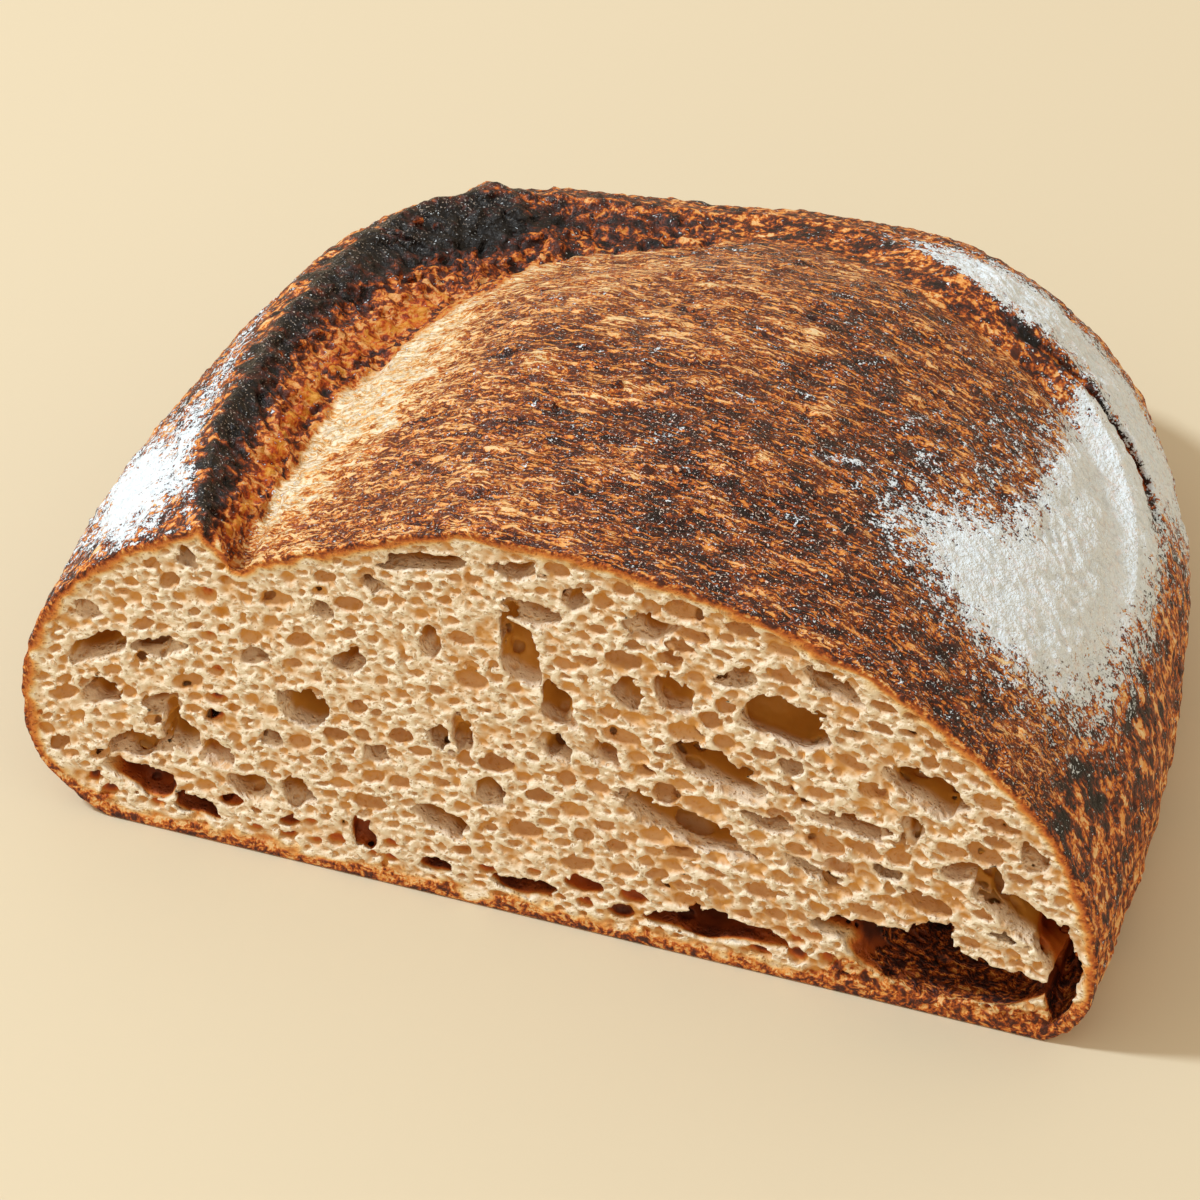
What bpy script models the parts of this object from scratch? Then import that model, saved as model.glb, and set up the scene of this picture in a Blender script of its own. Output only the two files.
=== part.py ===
"""Half of an oval sourdough loaf, cut across its middle and standing on its flat base.

Metres, +Z up. X runs along the cut, Y runs from the cut into the loaf, and the origin is on the base,
half-way along the loaf's width and half-way between the cut and the far end.

The loaf is one solid. Its skin is a stack of rings, each an open loop that starts at the left end of
the cut, goes round the far end and comes back to the cut on the right. One ring runs along the lip of
the ear, the flap that the baker's slash opened, and another along the groove inside it, so both stay
crisp. The large bubbles of the open crumb are lumpy ellipsoids cut out of the flat face.
"""

import math

import bmesh
import bpy
import numpy as np
from mathutils import Euler, Matrix, Vector, noise

MM = 0.001

# The whole form
WIDTH = 184 * MM
DEPTH = 148 * MM  # before the swell below, which brings it to about 151
CROWN = 85 * MM
STRAIGHT = 26 * MM  # the stretch behind the cut that keeps its full width
PLAN_POWER = 2.67  # the outline from above is this superellipse, a little squarer than an ellipse
DOME_POWER = 2.0  # the section from side to side is an ellipse above the widest level
END_FLATTER = 0.45  # the dome runs out straighter toward the far end, by this much of its power
CROWN_LEVEL = 0.6  # inside this level it eases back into the round crown
SIDE_LEVEL = 22.5 * MM  # height at which the sides bulge most
SIDE_SLANT = 4.5 * MM  # the left side bulges this much higher, and the right side as much lower
FOOT_TUCK = 0.12  # share of the width by which the underside draws in to the flat base
FOOT_SLANT = 0.03  # the left side draws in this much more, and the right side as much less
FOOT_POWER = 3.2

HALF_WIDTH = WIDTH / 2
ROUND_DEPTH = DEPTH - STRAIGHT
CUT_Y = -75.5 * MM

# Where the slash runs. A station tells how far round the loaf a point is: -20 at the left end of the
# cut, 0 where the left side starts to curve, 90 at the far end, 180 and 200 the same on the right.
# A level is a share of the full width, 1 at the widest outline and 0 on the crown.
STATIONS = (-20, -10, 0, 15, 30, 45, 60, 75, 90, 105, 120, 130, 138, 150, 165, 180, 200)
SWELL = (100, 100, 100, 99, 98.5, 99, 99, 100, 101.5, 102.5, 102.5, 101, 99, 98.5, 99.5, 100, 100)
LIP_LEVEL = (62, 66.5, 68.5, 70.5, 74, 76.5, 73, 71, 73.5, 71, 67, 68, 77, 88, 90, 91, 92)
GROOVE_LEVEL = (60, 60, 60, 59.5, 58.5, 60, 62, 64, 67, 65, 61.5, 63.5, 73, 85, 87.5, 89, 90.5)
DIP_LEVEL = (55, 52, 48, 44, 41, 38, 36, 30, 24, 18, 12, 10, 8, 6, 5, 5, 5)
LIP_HEIGHT = (0.5, 2, 2.8, 3.4, 3.6, 3.4, 2.5, 1.5, 1, 1, 1.2, 1.8, 2.2, 1.2, 0.6, 0.3, 0)
GROOVE_DEPTH = (8.6, 9, 9.2, 9.2, 8.8, 7.8, 6, 3.6, 2.2, 1.6, 1.4, 1.6, 1.8, 1, 0.5, 0.2, 0)
SHOULDER = (0, 0.4, 0.2, -1.3, -2, -0.6, -1.5, -0.6, 1.6, 2.9, 3.9, 2.4, 0, -1.1, -0.5, 0, 0)
PERCENT = 0.01  # swell and levels are in hundredths, the heights and depths in millimetres

# The rings, from the base up to the crown
WALL_HEIGHTS = (0.0, 0.04, 0.11, 0.22, 0.38, 0.66)
OUTER_SHARES = (0, 0.04, 0.12, 0.23, 0.37, 0.52, 0.67, 0.8, 0.9, 0.965)  # widest outline to lip
WALL_SHARES = (0, 0.13, 0.32, 0.55, 0.8)  # lip to groove
WALL_DROP = (0, 0.2, 0.45, 0.66, 0.86)
BLOOM_SHARES = (0.05, 0.15, 0.28, 0.43, 0.6, 0.77)  # groove to crown
TOP_LEVEL = 0.06  # the ring that is zipped shut on the crown
STRAIGHT_STEPS = 8
ROUND_STEPS = 74

SHOULDER_LEVEL = 0.72  # the dome is fuller or flatter here than a plain one, by SHOULDER
SHOULDER_SPREAD = 0.3
LIP_BACK = 0.13  # how many levels outside the lip the skin is lifted with it
BLOOM_STEP = 0.86  # share of the groove's depth at which the torn crust beside it starts

# Unevenness: broad lumps of the whole crust, and the ragged lip and torn wall of the slash
LUMP_SIZE = 24 * MM
LUMP_HEIGHT = 1.0 * MM
TEAR_SIZE = 7 * MM
TEAR_HEIGHT = 1.5 * MM
CURL = (-45 * MM, 105 * MM)  # a burnt curl on the ear: across, and behind the cut
CURL_SIZE = 5 * MM
CURL_HEIGHT = 2.2 * MM

# The large bubbles that the knife opened. Millimetres and degrees: across the cut from its middle,
# height above the table, half length, half height, tilt, half depth into the loaf.
BUBBLES = (
    # the two largest: one lies on the bottom crust, the other follows the right wall down beside it
    (66.5, 11.8, 15.2, 6.9, -4, 24),
    (64.5, 17.2, 4.6, 3.8, 10, 12),
    (68.5, 34.3, 3.8, 1.9, 15, 5),
    (73.3, 32.3, 2.3, 4.2, -8, 8),
    (79.3, 27.6, 6.2, 3.4, -32, 15),
    (85.2, 22.5, 2.9, 6.2, 8, 14),
    (86.5, 12.6, 1.9, 6.6, -3, 12),
    # along the base
    (28, 7.8, 9.2, 3.0, 4, 12),
    (-4, 6.8, 4.8, 2.2, 5, 7),
    (-62, 7.4, 4.2, 2.1, -12, 8),
    (-72, 11, 5.2, 3.2, -18, 9),
    (-20, 7, 2.6, 1.7, 10, 5),
    (48, 14.5, 3.2, 2.1, -12, 6),
    # the long flat ones of the right half
    (24, 29, 10, 3.2, -13, 12),
    (28, 44, 8, 3.2, -22, 12),
    (38, 58, 8, 4.4, 1, 12),
    (46, 69, 5.8, 2.0, -29, 7),
    (62.5, 50.5, 5.8, 3.6, -14, 12),
    (50, 39, 6.2, 2.0, -3, 6),
    (31, 66, 3.4, 2.0, 17, 5),
    # the round ones of the middle
    (-5, 61, 3.3, 6.0, 10, 9),
    (-3, 70, 5.0, 2.1, -4, 6),
    (1, 51, 3.0, 3.9, 12, 7),
    (16, 72, 3.3, 2.4, 10, 6),
    (20, 59, 2.7, 3.6, 25, 6),
    (13, 57, 2.6, 3.0, 10, 5),
    (-21, 75.5, 7.4, 1.9, 14, 7),
    (-6, 78, 3.6, 1.8, 8, 5),
    (-42, 37, 3.9, 4.4, 15, 12),
    (-19, 37, 2.3, 2.6, 10, 5),
    (-19, 18, 4.8, 2.4, -33, 7),
    (-10, 27, 2.6, 3.0, 10, 6),
    # the left end
    (-78, 40, 6.0, 2.8, 38, 8),
    (-67, 43, 4.7, 2.0, 34, 6),
    (-64, 24, 3.2, 3.6, 20, 8),
    (-72, 18.5, 4.6, 2.6, 18, 7),
    (-52, 15, 3.4, 3.0, 12, 6),
    (-44, 16.5, 2.8, 3.0, 15, 6),
    (-78, 29, 3.2, 2.6, 40, 6),
)
BUBBLE_SINK = 0.22  # a bubble's middle lies this share of its depth behind the cut
BUBBLE_LUMPS = 0.16  # how far a bubble's wall strays from the ellipsoid, as a share of its size
LARGE_BUBBLE = 6 * MM


def clear_scene():
    for obj in list(bpy.data.objects):
        bpy.data.objects.remove(obj)


def bread_material(name, colour, roughness):
    material = bpy.data.materials.new(name)
    material.use_nodes = True
    shader = material.node_tree.nodes["Principled BSDF"]
    shader.inputs["Base Color"].default_value = (*colour, 1)
    shader.inputs["Roughness"].default_value = roughness
    material.diffuse_color = (*colour, 1)
    return material


def smooth_step(share):
    share = min(max(share, 0), 1)
    return share * share * (3 - 2 * share)


def at_station(values, station):
    """The value at a station, averaged over a short stretch so that no row has a kink."""
    stretch = np.arange(-6, 7, 3) + station
    return float(np.interp(stretch, STATIONS, values).mean())


def stations():
    found = [-20 + 20 * i / STRAIGHT_STEPS for i in range(STRAIGHT_STEPS)]
    found += [180 * i / ROUND_STEPS for i in range(ROUND_STEPS + 1)]
    found += [180 + 20 * (i + 1) / STRAIGHT_STEPS for i in range(STRAIGHT_STEPS)]
    return found


def plan_point(station, level):
    """(x, distance behind the cut) of a level at a station."""
    swell = at_station(SWELL, station) * PERCENT
    if station < 0:
        return -HALF_WIDTH * level * swell, STRAIGHT * (1 + station / 20)
    if station > 180:
        return HALF_WIDTH * level * swell, STRAIGHT * (200 - station) / 20
    c, s = math.cos(math.radians(station)), math.sin(math.radians(station))
    reach = level * swell * (abs(c) ** PLAN_POWER + abs(s) ** PLAN_POWER) ** (-1 / PLAN_POWER)
    return -HALF_WIDTH * reach * c, STRAIGHT + ROUND_DEPTH * reach * s


def side_level(x):
    return SIDE_LEVEL - SIDE_SLANT * x / HALF_WIDTH


def dome_point(station, level):
    x, behind = plan_point(station, level)
    side = side_level(x)
    away = math.sin(math.radians(min(max(station, 0), 180)))
    power = DOME_POWER - END_FLATTER * away * away * smooth_step(level / CROWN_LEVEL)
    rise = max(0, 1 - level**power) ** (1 / power)
    return Vector((x, CUT_Y + behind, side + (CROWN - side) * rise))


def foot_point(station, share):
    """A point of the drawn-in foot, this share of the way up to the widest level."""
    x, behind = plan_point(station, 1)
    tuck = FOOT_TUCK - FOOT_SLANT * x / HALF_WIDTH
    inner_x, inner_behind = plan_point(station, 1 - tuck * (1 - share) ** FOOT_POWER)
    return Vector((inner_x, CUT_Y + inner_behind, share * side_level(x)))


def tear(point):
    """Ragged unevenness between -1 and 1."""
    return 1.3 * noise.noise(point / TEAR_SIZE) + 0.6 * noise.noise(2.3 * point / TEAR_SIZE)


def ring_table():
    """Each ring as (kind, share): its place between the base, lip, groove and crown."""
    table = [("foot", share) for share in WALL_HEIGHTS]
    table += [("outer", share) for share in OUTER_SHARES]
    table += [("wall", share) for share in WALL_SHARES]
    table += [("groove", 0)]
    table += [("bloom", share) for share in BLOOM_SHARES]
    return table + [("bloom", 1)]


def ring_level(kind, share, station):
    lip = at_station(LIP_LEVEL, station) * PERCENT
    groove = at_station(GROOVE_LEVEL, station) * PERCENT
    return {
        "foot": 1,
        "outer": 1 + (lip - 1) * share,
        "wall": lip + (groove - lip) * share,
        "groove": groove,
        "bloom": groove + (TOP_LEVEL - groove) * share,
    }[kind]


def slash_relief(kind, share, station, point):
    """How far the slash lifts or sinks the skin at a point of a ring."""
    if kind == "foot":
        return 0
    level = ring_level(kind, share, station)
    rise = at_station(LIP_HEIGHT, station) * MM
    sink = at_station(GROOVE_DEPTH, station) * MM
    ragged = min(1, (rise + sink) / (8 * MM)) * TEAR_HEIGHT * tear(point)
    if kind == "outer":
        beyond = level - at_station(LIP_LEVEL, station) * PERCENT
        return (rise + 0.5 * ragged) * math.exp(-((beyond / LIP_BACK) ** 2))
    if kind == "wall":
        return rise - (rise + sink) * WALL_DROP[WALL_SHARES.index(share)] + ragged
    if kind == "groove":
        return 0.5 * ragged - sink
    inside = at_station(GROOVE_LEVEL, station) * PERCENT - level
    left = 1 - smooth_step(inside / (at_station(DIP_LEVEL, station) * PERCENT))
    return (0.3 * ragged - BLOOM_STEP * sink) * left


def shoulder_relief(kind, share, station):
    away = (ring_level(kind, share, station) - SHOULDER_LEVEL) / SHOULDER_SPREAD
    height = at_station(SHOULDER, station) * MM * math.exp(-(away**2))
    return height * share if kind == "foot" else height


def curl_relief(point):
    away = math.hypot(point.x - CURL[0], point.y - CUT_Y - CURL[1])
    return CURL_HEIGHT * math.exp(-((away / CURL_SIZE) ** 2))


def skin(bm):
    """The outer skin as rows of vertices, with the crown zipped shut and the relief pushed out."""
    reliefs = {}
    rows = []
    for kind, share in ring_table():
        row = []
        for station in stations():
            if kind == "foot":
                point = foot_point(station, share)
                relief = 0
            else:
                point = dome_point(station, ring_level(kind, share, station))
                relief = slash_relief(kind, share, station, point) + curl_relief(point)
            vertex = bm.verts.new(point)
            relief += shoulder_relief(kind, share, station)
            if (kind, share) != ("foot", 0):
                relief += LUMP_HEIGHT * noise.noise(point / LUMP_SIZE)
            reliefs[vertex] = relief
            row.append(vertex)
        rows.append(row)
    for low, high in zip(rows, rows[1:]):
        for i in range(len(low) - 1):
            bm.faces.new((low[i], low[i + 1], high[i + 1], high[i]))
    top = rows[-1]
    last = len(top) - 1
    for i in range(len(top) // 2):
        corners = (top[i], top[i + 1], top[last - i - 1], top[last - i])
        bm.faces.new(tuple(dict.fromkeys(corners)))
    bmesh.ops.recalc_face_normals(bm, faces=bm.faces[:])
    bm.normal_update()
    if sum(vertex.normal.z for vertex in top) < 0:
        bmesh.ops.reverse_faces(bm, faces=bm.faces[:])
        bm.normal_update()
    moves = []
    for vertex, relief in reliefs.items():
        way = vertex.normal.copy()
        if vertex.co.y - CUT_Y < MM / 10:
            way.y = 0  # the cut stays flat
        if vertex in rows[0]:
            way.z = 0  # and so does the base
        moves.append((vertex, way.normalized() * relief))
    for vertex, move in moves:
        vertex.co += move
    return rows


def loaf_body(crust, crumb):
    bm = bmesh.new()
    rows = skin(bm)
    bm.faces.new(rows[0])
    face_loop = [row[0] for row in rows] + [row[-1] for row in reversed(rows)]
    cut = bm.faces.new(face_loop)
    bmesh.ops.recalc_face_normals(bm, faces=bm.faces[:])
    for face in bm.faces:
        face.material_index = 1 if face is cut else 0
    mesh = bpy.data.meshes.new("loaf")
    bm.to_mesh(mesh)
    bm.free()
    mesh.materials.append(crust)
    mesh.materials.append(crumb)
    loaf = bpy.data.objects.new("loaf", mesh)
    bpy.context.collection.objects.link(loaf)
    return loaf


def bubble_cutter(number, bubble, crumb):
    """One bubble as a lumpy ellipsoid, sunk a little behind the cut so that its mouth is narrower."""
    across, high, half_long, half_high = (value * MM for value in bubble[:4])
    tilt = math.radians(bubble[4])
    half_deep = bubble[5] * MM
    bm = bmesh.new()
    bmesh.ops.create_icosphere(bm, subdivisions=3 if half_long > LARGE_BUBBLE else 2, radius=1)
    for vertex in bm.verts:
        lump = noise.noise(1.3 * vertex.co + Vector((7.1 * number, 0, 3.7)))
        vertex.co *= 1 + BUBBLE_LUMPS * lump
    place = Matrix.Translation((across, CUT_Y + BUBBLE_SINK * half_deep, high))
    turn = Euler((0, -tilt, 0)).to_matrix().to_4x4()
    size = Matrix.Diagonal((half_long, half_deep, half_high, 1))
    bm.transform(place @ turn @ size)
    mesh = bpy.data.meshes.new(f"bubble_{number}")
    bm.to_mesh(mesh)
    bm.free()
    mesh.materials.append(crumb)
    cutter = bpy.data.objects.new(mesh.name, mesh)
    cutter.hide_render = True
    cutter.display_type = "WIRE"
    return cutter


def cut_bubbles(loaf, crumb):
    cutters = bpy.data.collections.new("bubbles")
    bpy.context.scene.collection.children.link(cutters)
    for number, bubble in enumerate(BUBBLES):
        cutters.objects.link(bubble_cutter(number, bubble, crumb))
    cut = loaf.modifiers.new("open_crumb", "BOOLEAN")
    cut.operation = "DIFFERENCE"
    cut.operand_type = "COLLECTION"
    cut.collection = cutters
    cut.solver = "EXACT"
    cut.material_mode = "TRANSFER"


def main():
    clear_scene()
    crust = bread_material("crust", (0.30, 0.11, 0.035), 0.5)
    crumb = bread_material("crumb", (0.74, 0.58, 0.36), 0.75)
    loaf = loaf_body(crust, crumb)
    loaf.data.shade_smooth()
    loaf.data.set_sharp_from_angle(angle=math.radians(40))
    cut_bubbles(loaf, crumb)


main()
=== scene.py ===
# %% [markdown]
# # Half a sourdough loaf
# The loaf stands on its flat base with its cut face to the front. The plain solid already has the right
# size and outline, and this lesson gives it what the baker sees: a torn ear, a strand-like crust, flour,
# and a crumb full of bubbles. Everything is worked out in millimetres in numpy as one distance field, which
# says at each point of a fine lattice how far away the bread's surface is. Bubbles, cracks and strands are
# then simple sums on that field, and they can never leave holes or loose flaps in the mesh.

import math
import time

import bpy
import numpy as np
import openvdb
from mathutils import Matrix, Vector, noise


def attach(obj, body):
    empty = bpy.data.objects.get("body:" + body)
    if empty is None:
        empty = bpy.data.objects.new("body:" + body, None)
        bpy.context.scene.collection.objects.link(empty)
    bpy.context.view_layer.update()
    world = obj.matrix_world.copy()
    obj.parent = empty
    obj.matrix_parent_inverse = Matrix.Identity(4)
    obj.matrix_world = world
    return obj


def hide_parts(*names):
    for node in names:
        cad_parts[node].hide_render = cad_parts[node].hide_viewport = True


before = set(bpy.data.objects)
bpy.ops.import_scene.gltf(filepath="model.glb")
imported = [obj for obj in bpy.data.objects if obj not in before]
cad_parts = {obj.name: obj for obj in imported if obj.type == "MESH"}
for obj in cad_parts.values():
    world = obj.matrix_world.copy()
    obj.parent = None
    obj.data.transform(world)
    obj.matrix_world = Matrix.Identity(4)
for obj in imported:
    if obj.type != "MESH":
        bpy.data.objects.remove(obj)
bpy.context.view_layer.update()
began = time.perf_counter()

# %% [markdown]
# ## The dome in numbers
# A place on the skin has two numbers. The station says how far round the loaf it is: -20 at the left end
# of the cut, 90 at the far end, 200 at the right end of the cut. The level is 1 at the widest outline
# and 0 on the crown. The rows below say, station by station, where the lip of the ear and the groove
# beside it run, and how high and deep they are. They are the same rows that shaped the plain solid, so
# the detailed skin stays on it.

# %% Sizes of the dome
HALF_WIDTH, STRAIGHT, ROUND_DEPTH, CROWN = 92.0, 26.0, 122.0, 85.0
CUT_Y = -75.5
PLAN_POWER, DOME_POWER, END_FLATTER, CROWN_LEVEL = 2.67, 2.0, 0.45, 0.6
SIDE_LEVEL, SIDE_SLANT = 22.5, 4.5
FOOT_TUCK, FOOT_SLANT, FOOT_POWER = 0.12, 0.03, 3.2
STATIONS = (-20, -10, 0, 15, 30, 45, 60, 75, 90, 105, 120, 130, 138, 150, 165, 180, 200)
SWELL = (100, 100, 100, 99, 98.5, 99, 99, 100, 101.5, 102.5, 102.5, 101, 99, 98.5, 99.5, 100, 100)
LIP_LEVEL = (62, 66.5, 68.5, 70.5, 74, 76.5, 73, 71, 73.5, 71, 67, 68, 77, 88, 90, 91, 92)
GROOVE_LEVEL = (60, 60, 60, 59.5, 58.5, 60, 62, 64, 67, 65, 61.5, 63.5, 73, 85, 87.5, 89, 90.5)
DIP_LEVEL = (55, 52, 48, 44, 41, 38, 36, 30, 24, 18, 12, 10, 8, 6, 5, 5, 5)
LIP_HEIGHT = (0.5, 2, 2.8, 3.4, 3.6, 3.4, 2.5, 1.5, 1, 1, 1.2, 1.8, 2.2, 1.2, 0.6, 0.3, 0)
GROOVE_DEPTH = (8.6, 9, 9.2, 9.2, 8.8, 7.8, 6, 3.6, 2.2, 1.6, 1.4, 1.6, 1.8, 1, 0.5, 0.2, 0)
SHOULDER = (0, 0.4, 0.2, -1.3, -2, -0.6, -1.5, -0.6, 1.6, 2.9, 3.9, 2.4, 0, -1.1, -0.5, 0, 0)


def at_station(values, station):
    """The row's value at a station, averaged over a short stretch so that it has no kink."""
    return np.mean([np.interp(station + step, STATIONS, values) for step in (-6, -3, 0, 3, 6)], axis=0)


def smooth(share):
    share = np.clip(share, 0, 1)
    return share * share * (3 - 2 * share)


def hump(distance):
    return np.exp(-(distance**2))


def plan(station, level):
    """Across and behind the cut, seen from above."""
    swell = at_station(SWELL, station) / 100
    turn = np.radians(np.clip(station, 0, 180))
    c, s = np.cos(turn), np.sin(turn)
    reach = level * swell * (np.abs(c) ** PLAN_POWER + np.abs(s) ** PLAN_POWER) ** (-1 / PLAN_POWER)
    side = np.where(station < 0, -1, 1) * HALF_WIDTH * level * swell
    straight = (station < 0) | (station > 180)
    behind = STRAIGHT * np.where(station < 0, 1 + station / 20, (200 - station) / 20)
    return np.where(straight, side, -HALF_WIDTH * reach * c), np.where(
        straight, behind, STRAIGHT + ROUND_DEPTH * reach * s
    )


def side_level(x):
    return SIDE_LEVEL - SIDE_SLANT * x / HALF_WIDTH


def dome(station, level):
    x, behind = plan(station, level)
    side = side_level(x)
    away = np.sin(np.radians(np.clip(station, 0, 180)))
    power = DOME_POWER - END_FLATTER * away**2 * smooth(level / CROWN_LEVEL)
    rise = np.clip(1 - level**power, 0, None) ** (1 / power)
    return x, behind, side + (CROWN - side) * rise


print("the skin is", round(float(dome(np.array(90.0), np.array(0.5))[2]), 1), "mm high half-way to the far end")

# %% [markdown]
# ## The skin with its slash
# The baker cut the dough along a curve at the left. The oven lifted one side of that cut into an ear and
# pulled the other side out into the broad torn bloom. Rings of points follow the lip and the groove, so
# the fold is crisp, and each point is pushed in or out along the dome's own normal.

# %% Loft the rings
FOOT = np.linspace(0, 1, 30)
OUTER = np.linspace(0, 1, 64)[1:]
WALL = np.linspace(0, 1, 44)[1:]
BLOOM = np.linspace(0, 1, 110)[1:]
TOP_LEVEL = 0.015
LUMP_SIZE, LUMP_HEIGHT = 24, 1.0
TEAR_SIZE, TEAR_HEIGHT = 7, 1.5
LIP_BACK, BLOOM_STEP = 0.13, 0.86
SHOULDER_LEVEL, SHOULDER_SPREAD = 0.72, 0.3
CURL, CURL_SIZE, CURL_HEIGHT = (-45, 105), 5, 2.2

station = np.concatenate([np.linspace(-26, 0, 60)[:-1], np.linspace(0, 180, 430), np.linspace(180, 206, 60)[1:]])
station = station[:, None]
lip, groove = at_station(LIP_LEVEL, station) / 100, at_station(GROOVE_LEVEL, station) / 100
level = np.concatenate(
    [
        np.ones((len(station), len(FOOT))),
        1 + (lip - 1) * OUTER,
        lip + (groove - lip) * WALL,
        groove + (TOP_LEVEL - groove) * BLOOM,
    ],
    axis=1,
)
part_of_ring = np.repeat((0, 1, 2, 3), (len(FOOT), len(OUTER), len(WALL), len(BLOOM)))
share = np.concatenate([FOOT, OUTER, WALL, BLOOM])
skin = np.stack(np.broadcast_arrays(*dome(station, level)), axis=-1)
widest_x = plan(station, np.ones_like(station))[0]
tuck = FOOT_TUCK - FOOT_SLANT * widest_x / HALF_WIDTH
foot = plan(station, 1 - tuck * (1 - FOOT) ** FOOT_POWER)
skin[:, : len(FOOT)] = np.stack([foot[0], foot[1], FOOT * side_level(widest_x)], axis=-1)


def uneven(points, size, shift=0.0):
    """Blender's own noise at points given in millimetres, in the frame of the solid."""
    flat = (points + (0, CUT_Y, 0)).reshape(-1, 3) / size + shift
    return np.array([noise.noise(p) for p in flat.tolist()]).reshape(points.shape[:-1])


outward = np.cross(np.gradient(skin, axis=0), np.gradient(skin, axis=1))
outward *= np.sign(outward[300, 200, 2])
outward /= np.linalg.norm(outward, axis=-1, keepdims=True) + 1e-9
rise, sink = at_station(LIP_HEIGHT, station), at_station(GROOVE_DEPTH, station)
torn = np.zeros(level.shape)
slashed = slice(len(FOOT) + 30, len(FOOT) + len(OUTER) + len(WALL) + 60)
torn[:, slashed] = 1.3 * uneven(skin[:, slashed], TEAR_SIZE) + 0.6 * uneven(skin[:, slashed] * 2.3, TEAR_SIZE)
torn *= np.minimum(1, (rise + sink) / 8) * TEAR_HEIGHT
drop = np.interp(share, (0, 0.13, 0.32, 0.55, 0.8, 1), (0, 0.2, 0.45, 0.66, 0.86, 1))
dip = 1 - smooth((groove - level) / (at_station(DIP_LEVEL, station) / 100))
relief = np.select(
    [part_of_ring == 1, part_of_ring == 2, part_of_ring == 3],
    [
        (rise + 0.5 * torn) * hump((level - lip) / LIP_BACK),
        rise - (rise + sink) * drop + torn * (0.5 + 0.5 * np.sin(np.pi * share)),
        (torn * (0.3 + 0.2 * (1 - smooth(share / 0.05))) - sink * (1 - (1 - BLOOM_STEP) * smooth(share / 0.05))) * dip,
    ],
    0.0,
)
shoulder = at_station(SHOULDER, station) * hump((level - SHOULDER_LEVEL) / SHOULDER_SPREAD)
relief += np.where(part_of_ring == 0, shoulder * share, shoulder)
relief += np.where(share * (part_of_ring == 0) + (part_of_ring > 0) > 0, LUMP_HEIGHT, 0) * uneven(skin, LUMP_SIZE)
relief += (part_of_ring > 0) * CURL_HEIGHT * hump(np.hypot(skin[..., 0] - CURL[0], skin[..., 1] - CURL[1]) / CURL_SIZE)
outward[:, 0, 2] = 0
skin += outward * relief[..., None]
print("skin rings", skin.shape[:2], "highest point", round(float(skin[..., 2].max()), 1), "mm")

# %% [markdown]
# ## From rings to a distance field
# OpenVDB, which comes with Blender, turns a closed mesh into distances on a lattice. The rings run a
# little past the cut, so that the cut can be made afterwards with crumb behind it. Two lattices share the
# work: a fine one for the cut face and the crumb behind it, and a coarser one for the rest of the crust.
# Both read the same formulas, so the two surfaces meet.

# %% Two lattices
columns, rings = skin.shape[:2]
number = np.arange(columns * rings).reshape(columns, rings)
sides = np.stack([number[:-1, :-1], number[1:, :-1], number[1:, 1:], number[:-1, 1:]], axis=-1).reshape(-1, 4)
half = columns // 2
mirror = number[::-1]
zips = [
    np.stack([number[:half, r], number[1 : half + 1, r], mirror[1 : half + 1, r], mirror[:half, r]], axis=-1)
    for r in (0, -1)
]
cap = np.stack([number[0, :-1], number[0, 1:], number[-1, 1:], number[-1, :-1]], axis=-1)
skin_quads = np.concatenate([sides, *zips, cap]).astype(np.uint32)


class Lattice:
    """A box of evenly spaced points, in millimetres, with the distance to the plain skin at each."""

    def __init__(self, voxel, low, high):
        self.voxel = voxel
        self.low = np.floor(np.array(low) / voxel).astype(int)
        self.shape = tuple(int(n) for n in np.ceil(np.array(high) / voxel).astype(int) - self.low)
        self.transform = openvdb.createLinearTransform(voxel)
        grid = openvdb.FloatGrid.createLevelSetFromPolygons(
            skin.reshape(-1, 3).astype(np.float32), quads=skin_quads, transform=self.transform,
            exBandWidth=3.5 / voxel, inBandWidth=6.0 / voxel,
        )
        self.skin = np.zeros(self.shape, dtype=np.float32)
        grid.copyToArray(self.skin, ijk=tuple(int(n) for n in self.low))
        self.field = self.skin.copy()

    def points(self, flat):
        return ((np.stack(np.unravel_index(flat, self.shape), axis=-1) + self.low) * self.voxel).astype(np.float32)

    def axis(self, which):
        return ((np.arange(self.shape[which]) + self.low[which]) * self.voxel).astype(np.float32)

    def window(self, centre, room):
        """The part of the lattice within `room` of a centre: slices, and distances along the axes."""
        low = np.maximum(np.floor((np.array(centre) - room) / self.voxel).astype(int) - self.low, 0)
        high = np.minimum(np.ceil((np.array(centre) + room) / self.voxel).astype(int) - self.low + 1, self.shape)
        if (high <= low).any():
            return None
        x, b, z = (self.axis(a)[low[a] : high[a]] - np.float32(centre[a]) for a in range(3))
        return tuple(slice(*ends) for ends in zip(low, high)), x[:, None, None], b[None, :, None], z[None, None, :]

    def read(self, values, points):
        """Values of the lattice at any points, blended from the eight corners round each."""
        where = points / self.voxel - self.low
        low = np.clip(np.floor(where).astype(int), 0, np.array(self.shape) - 2)
        part = (where - low).astype(np.float32)
        total = 0
        for corner in range(8):
            step = np.array(((corner >> 2) & 1, (corner >> 1) & 1, corner & 1))
            weight = np.prod(np.where(step, part, 1 - part), axis=-1)
            i, j, k = (low + step).T
            total = total + weight * values[i, j, k]
        return total


SEAM = 31.0
COARSER = 1.0
front = Lattice(0.4 * COARSER, (-97, -4, -3), (97, SEAM + 3, 92))
rear = Lattice(0.52 * COARSER, (-97, SEAM - 3, -3), (97, 157, 92))
print("lattices", front.shape, rear.shape, "seconds", round(time.perf_counter() - began, 1))

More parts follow.
